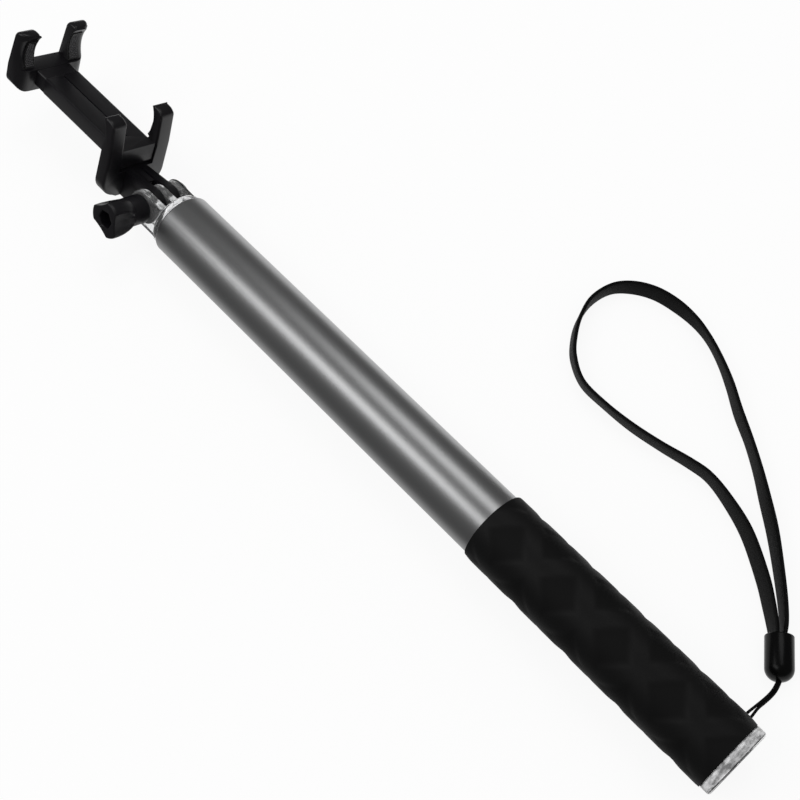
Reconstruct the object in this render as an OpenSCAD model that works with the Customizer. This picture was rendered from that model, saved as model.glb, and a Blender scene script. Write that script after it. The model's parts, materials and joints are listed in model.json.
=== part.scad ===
// Collapsed telescopic camera pole with a spring phone clamp and a wrist strap, lying on its side.
// +X runs along the pole from the end cap to the clamp, +Z is up, and the origin is the middle of the
// end cap's outer face. Millimetres.

/* [Pole] */
// Outside diameter of the outer tube
tube_od = 22; // [20:0.5:26]
// Length of the outer tube
tube_len = 239.5; // [200:0.5:300]
// Wall of each tube
tube_wall = 0.9; // [0.7:0.1:1.1]
// Wall of the guide bushes between the tubes
bush_wall = 1.2; // [0.9:0.1:1.4]
// Length of each guide bush
bush_len = 12; // [8:0.5:20]
// Length of each lock's split collet
collet_len = 14; // [10:0.5:18]
// Diameter of the stem that each collet sits on
stem_d = 7; // [5:0.5:8]
// Thickness of the discs that hold a collet on its stem
disc_t = 1.5; // [1:0.1:2.5]
// Length of each plug that is pressed into a tube
plug_len = 10; // [7:0.5:14]
// Room between one nested piece and the next along the pole
nest_room = 4; // [2:0.5:8]

/* [Grip and end cap] */
// Length of the grip
grip_len = 91.8; // [60:0.1:140]
// Wall of the grip
grip_wall = 0.9; // [0.6:0.1:2]
// Thickness of the end cap's flange
cap_flange = 3.5; // [2.5:0.1:6]
// How far the flange stands out from the tube
cap_lip = 0.55; // [0.3:0.05:1.2]
// Chamfer on the flange's outer edge
cap_chamfer = 0.5; // [0.2:0.1:1]
// Length of the end cap's plug
cap_plug = 12; // [10:0.5:18]
// Wall of the end cap's plug
cap_wall = 3.5; // [2:0.1:4]
// Distance from the grip's lower edge to the middle of the strap hole
hole_up = 3.4; // [3:0.1:6]
// Diameter of the strap hole
hole_d = 3.6; // [3.2:0.1:4.4]
// Diameter of the pin that the strap cord loops round
strap_pin_d = 2; // [1.5:0.1:2.2]

/* [Head] */
// Turn of the head about the pole, in degrees
head_roll = 25.5; // [0:0.5:45]
// Height of the hinge screw above the tube's mouth
pin_height = 12; // [11.5:0.1:16]
// Radius of the round prong ends
prong_r = 5.9; // [5.4:0.1:7]
// Thickness of one prong
prong_t = 3; // [2.5:0.1:4]
// How far the collar's edge stands in from the outside of the tube
collar_step = 1; // [0.6:0.1:1.4]
// Height of the collar
collar_h = 3.2; // [2.4:0.1:3.6]
// Bevel on the collar's upper edge
collar_bevel = 0.9; // [0.4:0.1:1.2]
// Diameter of the hinge screw
screw_d = 5; // [4:0.1:5.6]
// Width of the nut across its flats
nut_af = 8; // [7.2:0.1:9]
// Thickness of the nut
nut_t = 3; // [2.5:0.1:3.4]
// Clear plastic between the nut and the inner face of its prong
nut_cover = 1; // [0.6:0.1:1.4]
// How far the nut's boss stands out from its prong
boss_h = 2.5; // [2:0.1:4]
// Wall of the boss outside the nut's corners
boss_wall = 1; // [0.6:0.1:1.6]
// Radius of the boss's flat face
boss_face_r = 3.7; // [3.2:0.1:4.2]

/* [Knob] */
// Length of the knob
knob_len = 15; // [12:0.5:20]
// Radius of the knob's lobes
knob_r = 6.7; // [6.4:0.1:8]
// Length of the lobes before they curve in towards the neck
knob_rim = 2; // [1.2:0.1:3]
// Radius of the knob's round neck
knob_neck_r = 3.9; // [3.6:0.1:4.4]
// Length of the round neck
knob_neck = 4.2; // [2:0.1:5]
// Least distance from the knob's axis to its hollow flanks
knob_flank = 4.8; // [4.6:0.1:5.4]
// Radius of the hollow flanks
knob_scoop = 18; // [8:0.5:24]
// Width across corners of the six-sided hole in the knob's end
knob_hole_d = 6.4; // [6.2:0.1:7]
// Depth of that hole
knob_hole = 4; // [2:0.1:6]
// Turn of the knob at rest, in degrees
knob_turn = 12; // [0:1:120]

/* [Phone clamp] */
// Width of the bar
bar_w = 14; // [13.4:0.1:16]
// Thickness of the bar
bar_t = 6.5; // [6:0.1:8]
// Length of the bar
bar_len = 43.6; // [36:0.1:60]
// Height of the bar's front face above the pole's axis
bar_front = 12; // [11:0.1:15]
// Radius of the bar's long edges
bar_round = 0.8; // [0.4:0.1:1.2]
// Front wall of the bar
bar_wall = 1.5; // [1.3:0.1:2]
// Distance from the hinge screw to the lower jaw's outer face
jaw_reach = 14.1; // [13:0.1:20]
// Overall width of the lower jaw
lower_jaw_w = 25.6; // [25:0.1:36]
// Overall width of the upper jaw
upper_jaw_w = 27.8; // [27:0.1:36]
// Width of each arm of the lower jaw
lower_arm_w = 5.8; // [4:0.1:6]
// Width of each arm of the upper jaw
upper_arm_w = 7; // [5:0.1:7.2]
// How far the lower jaw's arms rise above the bar's front face
lower_rise = 12.2; // [12:0.1:14]
// How far the upper jaw's arms rise above the bar's front face
upper_rise = 13.7; // [12:0.1:15]
// Radius of the upper jaw's outer edges beside the phone
upper_edge = 4.8; // [2:0.1:5]
// Radius of the outer edges of the upper jaw's hollows
hollow_edge_r = 2.6; // [1:0.1:2.7]
// Depth of each arm from its outer face to the tip of its hook
hook_d = 6.3; // [6:0.1:8]
// How far the outer face of the lower jaw's arms leans in at its top
lower_draft = 1; // [0:0.1:1.5]
// How far the outer face of the upper jaw's arms leans in at its top
upper_draft = 2; // [0:0.1:2.2]
// Thickness of the lower jaw's plate
lower_jaw_t = 4.5; // [4:0.1:6]
// How far the middle of the lower jaw's outer face stands in from its arms
jaw_recess = 0.8; // [0.4:0.1:1]
// Thickness of the upper jaw's plate
upper_jaw_t = 6.9; // [6.4:0.1:7.2]
// Thickness of an arm at its narrowest
arm_neck = 4.1; // [3.6:0.1:4.4]
// Radius of the hollow in each arm
hollow_r = 11.4; // [10:0.1:14]
// Height of the hollow's middle above the bar's front face
hollow_up = 5.6; // [5.4:0.1:6.4]
// Radius of the arm's outer top corner
arm_round = 4; // [2:0.1:4.5]
// Radius of the hook's tip
tip_round = 1.2; // [0.6:0.1:1.4]
// Thickness of the pads
pad_t = 0.9; // [0.7:0.1:1.4]
// Depth of the seat that each pad lies in
pad_seat = 0.6; // [0.4:0.1:0.7]
// Width of each pad
pad_w = 3.8; // [3:0.1:4]
// Plain edge between a pad and the inner side of its arm
pad_edge = 0.3; // [0.2:0.1:0.3]
// Length of each pad along its arm
pad_len = 11; // [8:0.1:11.4]
// How far the lower jaw's plate reaches behind the pole's axis
lower_drop = 6; // [5:0.1:8]
// Radius of the lower jaw's bottom corners
lower_round = 7; // [4:0.1:8]
// How far the upper jaw's plate reaches behind the bar
upper_drop = 1.8; // [0:0.1:3]
// Radius of the upper jaw's bottom corners
upper_round = 3.6; // [2:0.1:5]
// Length of the slider's neck between the bar and the upper jaw at rest
neck_len = 5; // [3:0.1:10]
// How far the neck stands in from the bar's faces
neck_step = 0.1; // [0.1:0.1:0.8]
// Width of the tongue that runs inside the bar
tongue_w = 7.4; // [7:0.1:7.6]
// Thickness of the cover on the back of the bar
cover_t = 1.5; // [1.2:0.1:1.8]
// Rim of the bar on each side of the cover
cover_rim = 0.8; // [0.6:0.1:1]
// Diameter of the cover screws' shanks
cover_screw_d = 1.2; // [1:0.1:1.3]
// Diameter of the cover screws' heads
cover_head_d = 2.2; // [1.8:0.1:2.3]
// Height of the cover screws' heads
cover_head_h = 0.7; // [0.4:0.1:0.8]
// Length of the cover screws
cover_screw_len = 3.6; // [3:0.1:3.8]
// Width of the groove along the bar's front
groove_w = 0.5; // [0.4:0.1:1.5]
// Depth of that groove
groove_d = 0.4; // [0.2:0.1:0.7]
// Outside diameter of the clamp spring
spring_od = 2.2; // [1.8:0.1:2.3]
// Diameter of the clamp spring's wire
spring_wire = 0.35; // [0.25:0.05:0.4]
// Turns of the clamp spring
spring_turns = 20; // [12:1:24]
// Diameter of the posts that the spring hooks on
post_d = 1.4; // [1:0.1:1.6]

/* [Wrist strap] */
// Width of the webbing
web_w = 6.5; // [5:0.1:8]
// Thickness of the webbing
web_t = 1.3; // [0.8:0.1:1.8]
// Diameter of the cord
cord_d = 1; // [0.8:0.1:1]
// Length of the crimp
crimp_len = 14; // [12:0.5:18]
// Diameter of the crimp
crimp_d = 8.6; // [8:0.1:10]
// Radius of the crimp's rounded nose
crimp_nose = 3; // [2:0.1:3.4]

/* [Clearances] */
// Radial clearance of a sliding or turning fit
run_gap = 0.05; // [0.02:0.01:0.08]
// Radial clearance of a glued or pressed fit
seat_gap = 0.02; // [0.01:0.01:0.04]
// Clearance between flat faces that move past each other
side_gap = 0.1; // [0.06:0.02:0.2]

/* [Hidden] */
$fn = 96;

// How deep joined solids reach into each other, and how far a cut runs past a face
bite = 0.5;

// Diameters of the nested tubes
outer_id = tube_od - 2 * tube_wall;
middle_od = outer_id - 2 * (bush_wall + run_gap);
middle_id = middle_od - 2 * tube_wall;
inner_od = middle_id - 2 * (bush_wall + run_gap);
inner_id = inner_od - 2 * tube_wall;
grip_od = tube_od + 2 * grip_wall;
cap_od = tube_od + 2 * cap_lip;

// Stations along the pole
mouth_x = cap_flange + tube_len;
lock_room = 2 * disc_t + collet_len + 2 * side_gap;
lower_lock_x = cap_flange + cap_plug + nest_room;
middle_x = lower_lock_x + lock_room;
upper_lock_x = middle_x + plug_len + nest_room;
inner_x = upper_lock_x + lock_room;
hole_x = cap_flange + hole_up;
pin_x = mouth_x + pin_height;

// Head: the prongs stand side by side along the hinge screw with a gap at each face
prong_pitch = prong_t + side_gap;
head_prongs = [-2, 0, 2];
clamp_prongs = [-1, 1];
prong_out = 2 * prong_pitch + prong_t / 2;
collar_x = mouth_x + side_gap;
collar_top = collar_x + collar_h;
collar_r = tube_od / 2 - collar_step;
hinge_bore_d = screw_d + 2 * run_gap;
nut_corner_r = nut_af / 2 / cos(30);
boss_r = nut_corner_r + seat_gap + boss_wall;
boss_out = prong_out + boss_h;
nut_in = prong_out - prong_t + nut_cover;
nut_out = nut_in + nut_t;
knob_y = prong_out + side_gap;

// Inside of the clamp: where its room, tongue, cover and posts start, and the room that the spring has
room_start = 2.5;
tongue_start = 6;
cover_start = 1;
cover_screw_in = 4;
groove_in = 3;
groove_out = 1;
fixed_post_in = 1.6;
moving_post_in = 6;
post_room = 1;
post_seat = 0.5;
pocket_room = 0.4;
pocket_roof = 0.7;
slot_h = 1.4;
slot_depth = 1.5;

// Phone clamp, measured along the pole and above its axis
jaw_x = pin_x + jaw_reach;
bar_end = jaw_x + bar_len;
bar_back = bar_front - bar_t;
neck_x = bar_end + 2 * side_gap;
upper_in = neck_x + neck_len;
upper_out = upper_in + upper_jaw_t;
lower_top = bar_front + lower_rise;
upper_top = bar_front + upper_rise;
lower_arm_y = (lower_jaw_w - lower_arm_w) / 2;
upper_arm_y = (upper_jaw_w - upper_arm_w) / 2;
lower_pad_y = lower_jaw_w / 2 - lower_arm_w + pad_edge + pad_w / 2;
upper_pad_y = upper_jaw_w / 2 - upper_arm_w + pad_edge + pad_w / 2;
hollow_z = bar_front + hollow_up;
hollow_depth = arm_neck + hollow_r;
pad_r = hollow_r + pad_seat;
pad_angle = asin(pad_len / 2 / pad_r);
cavity_low = bar_back + cover_t;
cavity_high = bar_front - bar_wall;
cavity_w = tongue_w + 2 * side_gap;
cavity_x = jaw_x + room_start;
tongue_x = jaw_x + tongue_start;
tongue_low = cavity_low + side_gap;
tongue_high = cavity_high - side_gap;
pocket_w = spring_od + 2 * pocket_room;
pocket_high = tongue_high - pocket_roof;
fixed_post_x = cavity_x + fixed_post_in;
moving_post_x = bar_end - moving_post_in;
pocket_end = moving_post_x + post_d / 2 + post_room;
block_x = pin_x + prong_r + bite;
slot_low = bar_back - slot_h;
cover_x = cavity_x + cover_start;
cover_w = bar_w - 2 * cover_rim;
cover_screw_y = (cavity_w + cover_w) / 4;
cover_screw_xs = [cover_x + cover_screw_in, bar_end - cover_screw_in];
groove_start = jaw_x + lower_jaw_t + groove_in;

// Strap: the ground lies under the grip, and the crimp lies on it
ground_z = -grip_od / 2;
crimp_z = ground_z + crimp_d / 2;
crimp_nose_at = [7.5, -29.2];
crimp_turn = -50;

// Webbing from the crimp round the loop and back: x, y, height above the ground and lean in degrees,
// where 0 stands on edge and 90 lies flat
web_route = [
    [16.4, -37.4, 4.3, -6], [18.8, -40, 4.3, -12], [24.4, -44.8, 4, -18], [31.6, -50.3, 3.7, -20],
    [43.5, -57.5, 3.5, -17], [54, -61.3, 3.5, -9], [63.5, -63.3, 3.4, -2], [71, -62.5, 3.4, 0],
    [81, -60.3, 3.4, 4], [92, -58.5, 3.4, 6], [103, -57.9, 3.4, 10], [113, -58.5, 3.4, 6],
    [121, -62.7, 3.4, -3], [126, -67.8, 3.4, -8], [130.2, -74.6, 3.4, -8], [132.6, -82.8, 3.4, -2],
    [131.4, -91.1, 3.4, 0], [126.9, -96.8, 3.4, 6], [120.2, -100.7, 3.4, 8], [112.2, -102.3, 3.4, 8],
    [104, -102.2, 3.4, 0], [96.6, -100.5, 3.4, -6], [88.8, -97.2, 3.4, -4], [80.8, -92.7, 3.4, 3],
    [72.3, -87, 3.4, 7], [63.5, -81.8, 3.4, 5], [55.2, -76.2, 3.5, 8], [47.2, -70.2, 3.5, 14],
    [39.4, -64.2, 3.6, 15], [32, -57.7, 3.8, 12], [22.8, -49, 4.1, 8], [17.5, -43.2, 4.3, 4],
    [14.8, -38.9, 4.3, 0]
];
// Cord from the crimp into the hole, round the pin and back: x, y, z
cord_route = [
    [8.96, -30.13, -7.6], [8.18, -29, -7.6], [7.7, -27.54, -7.3], [7.29, -25.51, -6.7], [7.18, -22.98, -5.6],
    [7.31, -19.91, -3.9], [7.56, -16.5, -1.9], [7.72, -12.9, -0.4], [7.72, -9, 0], [8.2, -5.6, 0],
    [8.7, -2.9, 0], [7.9, -1.1, 0], [6.4, -0.8, 0], [5.3, -1.9, 0], [5.2, -4, 0], [5.7, -6.4, 0],
    [6.15, -9, 0], [6.26, -12.9, -0.4], [6.44, -16.5, -1.9], [6.25, -19.91, -3.9], [6.12, -22.98, -5.6],
    [6.25, -25.63, -6.7], [6.7, -27.86, -7.3], [7.32, -29.6, -7.6], [8.1, -30.73, -7.6]
];
strap_pin_y = -2.6;

// Unit vector, cross section points and smooth curve through points
function unit(v) = v / norm(v);
function xyz(p) = [p[0], p[1], p[2]];
function round_section(d, sides) = [
    for (i = [0 : sides - 1]) d / 2 * [cos(360 * i / sides), sin(360 * i / sides)]
];
function flat_section(w, t) = let (c = t / 4) [
    [w / 2, c], [w / 2 - c, t / 2], [c - w / 2, t / 2], [-w / 2, c],
    [-w / 2, -c], [c - w / 2, -t / 2], [w / 2 - c, -t / 2], [w / 2, -c]
];
function between(a, b, c, d, t) =
    0.5 * (2 * b + (c - a) * t + (2 * a - 5 * b + 4 * c - d) * t * t + (3 * b - a - 3 * c + d) * t * t * t);
function smooth(p, steps) = let (last = len(p) - 1) [
    for (i = [0 : last - 1], j = [0 : steps - 1])
        between(p[max(i - 1, 0)], p[i], p[i + 1], p[min(i + 2, last)], j / steps),
    p[last]
];
function heading(p, i) = unit(xyz(p[min(i + 1, len(p) - 1)]) - xyz(p[max(i - 1, 0)]));
function sideways(t) = unit(cross([0, 0, 1], t));
function leaning(t, lean) = sin(lean) * sideways(t) + cos(lean) * cross(t, sideways(t));

// One closed tube along a path, whose section is set across each point by a direction
module sweep(path, across, section) {
    n = len(section);
    last = len(path) - 1;
    rings = [
        for (i = [0 : last])
            let (t = heading(path, i), up = unit(cross(t, across[i])), out = cross(up, t))
                for (q = section) xyz(path[i]) + q[0] * out + q[1] * up
    ];
    sides = [
        for (i = [0 : last - 1], j = [0 : n - 1])
            let (a = i * n + j, b = i * n + (j + 1) % n)
                each [[a, a + n, b], [b, a + n, b + n]]
    ];
    ends = [
        for (j = [1 : n - 2])
            each [[0, j, j + 1], [last * n, last * n + j + 1, last * n + j]]
    ];
    polyhedron(rings, concat(sides, ends), convexity = 6);
}

// Cylinder along the pole, from one station to another
module rod(x0, x1, d) {
    translate([x0, 0, 0]) rotate([0, 90, 0]) cylinder(d = d, h = x1 - x0);
}

// Tube along the pole
module pipe(x0, x1, od, id) {
    difference() {
        rod(x0, x1, od);
        rod(x0 - bite, x1 + bite, id);
    }
}

// The head's own frame: x along the pole, y along the hinge screw to the knob, z to the clamp's front
module in_head() {
    rotate([head_roll, 0, 0]) children();
}

// Slab with an x-z outline, standing across y
module across_y(y, width) {
    translate([0, y, 0]) rotate([90, 0, 0]) linear_extrude(width, center = true) children();
}

// Cylinder along y through the hinge screw's axis
module on_screw(y0, y1, d, fn = $fn) {
    translate([pin_x, y1, 0]) rotate([90, 0, 0]) cylinder(d = d, h = y1 - y0, $fn = fn);
}

// Rectangle with round corners, from one corner to the other
module round_box(a, b, r) {
    translate([a[0] + r, a[1]]) square([b[0] - a[0] - 2 * r, b[1] - a[1]]);
    translate([a[0], a[1] + r]) square([b[0] - a[0], b[1] - a[1] - 2 * r]);
    for (x = [a[0] + r, b[0] - r], y = [a[1] + r, b[1] - r])
        translate([x, y]) circle(r);
}

// Solid that runs along the pole with a y-z outline
module along_x(x0, x1) {
    translate([x0, 0, 0]) rotate([90, 0, 90]) linear_extrude(x1 - x0) children();
}

// Hole for the strap, square to the pole on its -Y side
module strap_hole(y0, y1) {
    translate([hole_x, y0, 0]) rotate([90, 0, 0]) cylinder(d = hole_d, h = y0 - y1);
}

module outer_tube() {
    color("#56585b") difference() {
        pipe(cap_flange, mouth_x, tube_od, outer_id);
        strap_hole(0, -tube_od);
    }
}

module grip_sleeve() {
    color("#151416") difference() {
        pipe(cap_flange, cap_flange + grip_len, grip_od, tube_od + 2 * seat_gap);
        strap_hole(0, -grip_od);
    }
}

module end_cap() {
    cavity_r = outer_id / 2 - seat_gap - cap_wall;
    color("#d9dde0", 0.5) difference() {
        union() {
            rotate([0, 90, 0]) cylinder(r1 = cap_od / 2 - cap_chamfer, r2 = cap_od / 2, h = cap_chamfer);
            rod(cap_chamfer, cap_flange, cap_od);
            rod(cap_flange - bite, cap_flange + cap_plug, outer_id - 2 * seat_gap);
        }
        rod(hole_x - hole_d / 2 - cord_d, cap_flange + cap_plug + bite, 2 * cavity_r);
        strap_hole(0, -tube_od);
        strap_pin_rod(tube_od, strap_pin_d + 2 * seat_gap);
    }
}

module strap_pin_rod(length, d) {
    translate([hole_x, strap_pin_y, 0]) cylinder(d = d, h = length, center = true);
}

module strap_pin() {
    color("silver") strap_pin_rod(outer_id - 2 * tube_wall, strap_pin_d);
}

module bush(od, id) {
    pipe(mouth_x - bush_len, mouth_x, od - 2 * seat_gap, id);
}

module mouth_bush() {
    color("#202022") bush(outer_id, outer_id - 2 * bush_wall);
}

module middle_bush() {
    color("#202022") bush(middle_id, middle_id - 2 * bush_wall);
}

module middle_tube() {
    color("#8c8f93") pipe(middle_x, mouth_x, middle_od, middle_id);
}

module inner_tube() {
    color("#8c8f93") pipe(inner_x, mouth_x, inner_od, inner_id);
}

// Stem with a disc at each end of the collet's room and a plug that is pressed into the tube
module lock_core(x, room_d, od, id) {
    rod(x, x + disc_t, room_d - 4 * side_gap);
    rod(x + disc_t - bite, x + lock_room, stem_d);
    rod(x + lock_room - disc_t, x + lock_room, od);
    rod(x + lock_room - bite, x + lock_room + plug_len, id - 2 * seat_gap);
}

// Split collet that runs in the bore of the next tube out
module lock_sleeve(x, room_d) {
    x0 = x + disc_t + side_gap;
    split = 1.6;
    difference() {
        pipe(x0, x0 + collet_len, room_d - 2 * run_gap, stem_d + 2 * run_gap);
        translate([x0 - bite, -split / 2, 0]) cube([collet_len + 2 * bite, split, room_d]);
    }
}

module lower_lock_core() {
    color("#303134") lock_core(lower_lock_x, outer_id, middle_od, middle_id);
}

module lower_lock_sleeve() {
    color("#c8c4b8") lock_sleeve(lower_lock_x, outer_id);
}

module upper_lock_core() {
    color("#303134") lock_core(upper_lock_x, middle_id, inner_od, inner_id);
}

module upper_lock_sleeve() {
    color("#c8c4b8") lock_sleeve(upper_lock_x, middle_id);
}

// Prong outline: a round end about the screw and a straight root
module prong_outline(root_x, low, high) {
    translate([pin_x, 0]) circle(prong_r);
    polygon([[pin_x, -prong_r], [pin_x, prong_r], [root_x, high], [root_x, low]]);
}

module head_mount() {
    color("#d9dde0", 0.5) in_head() difference() {
        union() {
            rod(mouth_x - plug_len, collar_x + bite, inner_id - 2 * seat_gap);
            rod(collar_x, collar_top - collar_bevel, 2 * collar_r);
            translate([collar_top - collar_bevel, 0, 0]) rotate([0, 90, 0])
                cylinder(r1 = collar_r, r2 = collar_r - collar_bevel, h = collar_bevel);
            for (k = head_prongs) across_y(k * prong_pitch, prong_t)
                prong_outline(collar_top - bite, -prong_r, prong_r);
            nut_boss();
        }
        on_screw(-boss_out - bite, prong_out + bite, hinge_bore_d);
        on_screw(-nut_out - seat_gap, seat_gap - nut_in, 2 * (nut_corner_r + seat_gap), 6);
    }
}

// Dome over the nut on the outer prong away from the knob
module nut_boss() {
    shoulder = nut_out - prong_out + boss_wall / 2;
    translate([pin_x, bite - prong_out, 0]) rotate([90, 0, 0]) rotate_extrude() polygon([
        [0, 0], [boss_r, 0], [boss_r, bite], [nut_corner_r + boss_wall / 2, shoulder + bite],
        [boss_face_r, boss_h + bite], [0, boss_h + bite]
    ]);
}

module pivot_nut() {
    color("silver") in_head() difference() {
        on_screw(-nut_out, -nut_in, 2 * nut_corner_r, 6);
        on_screw(-nut_out - bite, bite - nut_in, hinge_bore_d);
    }
}

module pivot_screw() {
    color("silver") in_head() on_screw(-boss_out + bite, knob_y + knob_len - knob_hole, screw_d);
}

// Knob: a body that curves in to a round neck, with three hollow flanks between its lobes
module pivot_knob() {
    edge = 0.5;
    steps = 8;
    rise = knob_r - knob_neck_r;
    run = knob_len - knob_rim - knob_neck;
    bow = (rise * rise + run * run) / (2 * rise);
    curve = [
        for (i = [0 : steps]) let (z = run * (1 - i / steps))
            [knob_r - bow + sqrt(bow * bow - z * z), knob_len - knob_rim - z]
    ];
    body = concat(
        [[0, 0], [knob_neck_r, 0]], curve, [[knob_r, knob_len - edge], [knob_r - edge, knob_len], [0, knob_len]]
    );
    color("#1b191d") in_head() translate([pin_x, knob_y, 0]) rotate([-90, knob_turn, 0]) difference() {
        rotate_extrude() polygon(body);
        for (a = [60 : 120 : 300]) rotate([0, 0, a]) translate([knob_flank + knob_scoop, 0, -bite])
            cylinder(r = knob_scoop, h = knob_len + 2 * bite);
        translate([0, 0, knob_len - knob_hole]) cylinder(d = knob_hole_d, h = knob_hole + bite, $fn = 6);
        translate([0, 0, -bite]) cylinder(d = screw_d + 2 * seat_gap, h = knob_len);
    }
}

// Arm outline: p runs from the jaw's outer face to the other jaw, q above the pole's axis
module arm_outline(low, top, draft, base_t) {
    difference() {
        union() {
            translate([0, low]) square([hook_d, top - arm_round - low]);
            translate([arm_round, low]) square([hook_d - arm_round - tip_round, top - low]);
            translate([arm_round, low]) square([hook_d - arm_round, top - tip_round - low]);
            translate([arm_round, top - arm_round]) circle(arm_round);
            translate([hook_d - tip_round, top - tip_round]) circle(tip_round);
        }
        translate([hollow_depth, hollow_z]) circle(hollow_r);
        translate([base_t, low - bite]) square([hook_d, hollow_z - low + bite]);
        polygon([
            [0, bar_front], [draft, top], [draft, top + bite],
            [-bite, top], [-bite, bar_front]
        ]);
    }
}

// Both arms of a jaw with the seats of their pads, where dir is 1 when the hooks point along +X
module arms(out_x, dir, arm_y, arm_w, pad_y, top, draft, base_t) {
    difference() {
        for (s = [-1, 1]) across_y(s * arm_y, arm_w)
            translate([out_x, 0]) scale([dir, 1]) arm_outline(bar_front - bite, top, draft, base_t);
        for (s = [-1, 1]) pad_solid(out_x, dir, s * pad_y, seat_gap);
    }
}

// Jaw plate: straight sides up to the bar's front and two bottom corners, as round as the plate allows
module jaw_plate(x0, x1, low, width, corner) {
    half = width / 2;
    r = min(corner, (bar_front - low) / 2);
    along_x(x0, x1) {
        translate([-half, low + r]) square([width, bar_front - low - r]);
        translate([r - half, low]) square([width - 2 * r, bar_front - low]);
        for (s = [-1, 1]) translate([s * (half - r), low + r]) circle(r);
    }
}

module clamp_body() {
    color("#1b191d") in_head() difference() {
        union() {
            along_x(jaw_x, bar_end) round_box([-bar_w / 2, bar_back], [bar_w / 2, bar_front], bar_round);
            jaw_plate(jaw_x, jaw_x + lower_jaw_t, -lower_drop, lower_jaw_w, lower_round);
            arms(jaw_x, 1, lower_arm_y, lower_arm_w, lower_pad_y, lower_top, lower_draft, lower_jaw_t);
            for (k = clamp_prongs) across_y(k * prong_pitch, prong_t)
                prong_outline(jaw_x + bite, -prong_r, slot_low);
            across_y(0, 2 * prong_pitch + prong_t) polygon([
                [block_x, -prong_r], [block_x, slot_low], [jaw_x + bite, slot_low], [jaw_x + bite, -prong_r]
            ]);
        }
        on_screw(-prong_out, prong_out, hinge_bore_d);
        clamp_room();
        translate([jaw_x - bite, -bar_w / 2, slot_low]) cube([slot_depth + bite, bar_w, bar_back - slot_low]);
        translate([jaw_x - bite, lower_arm_w - lower_jaw_w / 2, bar_back])
            cube([jaw_recess + bite, lower_jaw_w - 2 * lower_arm_w, bar_t + bite]);
        translate([groove_start, -groove_w / 2, bar_front - groove_d])
            cube([bar_end - groove_start - groove_out, groove_w, bite + groove_d]);
        fixed_post(post_d + 2 * seat_gap, cavity_high + post_seat);
        cover_screw_places() cylinder(d = cover_screw_d + 2 * seat_gap, h = cover_screw_len + seat_gap);
    }
}

// Room inside the bar for the tongue, and the seat of the cover behind it
module clamp_room() {
    translate([cavity_x, -cavity_w / 2, bar_back - bite])
        cube([bar_end - cavity_x + bite, cavity_w, cavity_high - bar_back + bite]);
    translate([cover_x, -cover_w / 2, bar_back - bite])
        cube([bar_end - cover_x + bite, cover_w, cover_t + bite]);
}

module cover_screw_places() {
    for (x = cover_screw_xs, s = [-1, 1]) translate([x, s * cover_screw_y, bar_back]) children();
}

module clamp_cover() {
    color("#1b191d") in_head() difference() {
        translate([cover_x + side_gap, seat_gap - cover_w / 2, bar_back])
            cube([bar_end - cover_x - side_gap, cover_w - 2 * seat_gap, cover_t - seat_gap]);
        cover_screw_places() {
            translate([0, 0, -bite]) cylinder(d = cover_screw_d + 2 * seat_gap, h = cover_t + 2 * bite);
            translate([0, 0, -bite]) cylinder(d = cover_head_d + 2 * seat_gap, h = cover_head_h + bite);
        }
    }
}

// Countersunk-level heads with a driver slot, and plain shanks
module cover_screws() {
    slot_w = 0.4;
    slot_h = 0.3;
    color("#3a3a3c") in_head() cover_screw_places() difference() {
        union() {
            cylinder(d = cover_head_d, h = cover_head_h - seat_gap);
            cylinder(d = cover_screw_d, h = cover_screw_len);
        }
        translate([-cover_head_d, -slot_w / 2, -bite]) cube([2 * cover_head_d, slot_w, slot_h + bite]);
    }
}

// Upper jaw's plate and arms, with their outer edges rounded beside the phone
module upper_jaw() {
    low = bar_back - upper_drop;
    difference() {
        intersection() {
            union() {
                jaw_plate(upper_in, upper_out, low, upper_jaw_w, upper_round);
                arms(upper_out, -1, upper_arm_y, upper_arm_w, upper_pad_y, upper_top, upper_draft, upper_jaw_t);
            }
            translate([0, 0, low - bite]) linear_extrude(upper_top - low + 2 * bite) upper_plan();
        }
        for (s = [-1, 1]) hollow_edge(s);
    }
}

// Upper jaw seen along its arms
module upper_plan() {
    half = upper_jaw_w / 2;
    translate([upper_in + upper_edge, -half]) square([upper_jaw_t, upper_jaw_w]);
    translate([upper_in, upper_edge - half]) square([upper_jaw_t, upper_jaw_w - 2 * upper_edge]);
    for (s = [-1, 1]) translate([upper_in + upper_edge, s * (half - upper_edge)]) circle(upper_edge);
}

// What rounds off the outer edge of the hollow in one arm of the upper jaw
module hollow_edge(side) {
    lap = 0.05;
    start = upper_jaw_w / 2 - hollow_edge_r;
    reach = hollow_r + hollow_edge_r - lap;
    intersection() {
        translate([upper_out - hollow_depth, 0, hollow_z]) rotate([-90 * side, 0, 0]) rotate_extrude()
            difference() {
                translate([0, start]) square([reach, hollow_edge_r + bite]);
                translate([reach, start]) circle(hollow_edge_r);
            }
        translate([upper_in - bite, -upper_jaw_w, bar_front])
            cube([upper_jaw_t + 2 * bite, 2 * upper_jaw_w, 2 * upper_rise]);
    }
}

module clamp_slider() {
    color("#1b191d") in_head() difference() {
        union() {
            upper_jaw();
            along_x(neck_x, upper_in + bite) round_box(
                [neck_step - bar_w / 2, bar_back + neck_step],
                [bar_w / 2 - neck_step, bar_front - neck_step], bar_round);
            translate([tongue_x, -tongue_w / 2, tongue_low])
                cube([neck_x + bite - tongue_x, tongue_w, tongue_high - tongue_low]);
        }
        translate([tongue_x - bite, -pocket_w / 2, tongue_low - bite])
            cube([pocket_end - tongue_x + bite, pocket_w, pocket_high - tongue_low + bite]);
        moving_post(post_d + 2 * seat_gap, pocket_high + post_seat);
    }
}

module fixed_post(d, high) {
    translate([fixed_post_x, 0, cavity_low]) cylinder(d = d, h = high - cavity_low);
}

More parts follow.
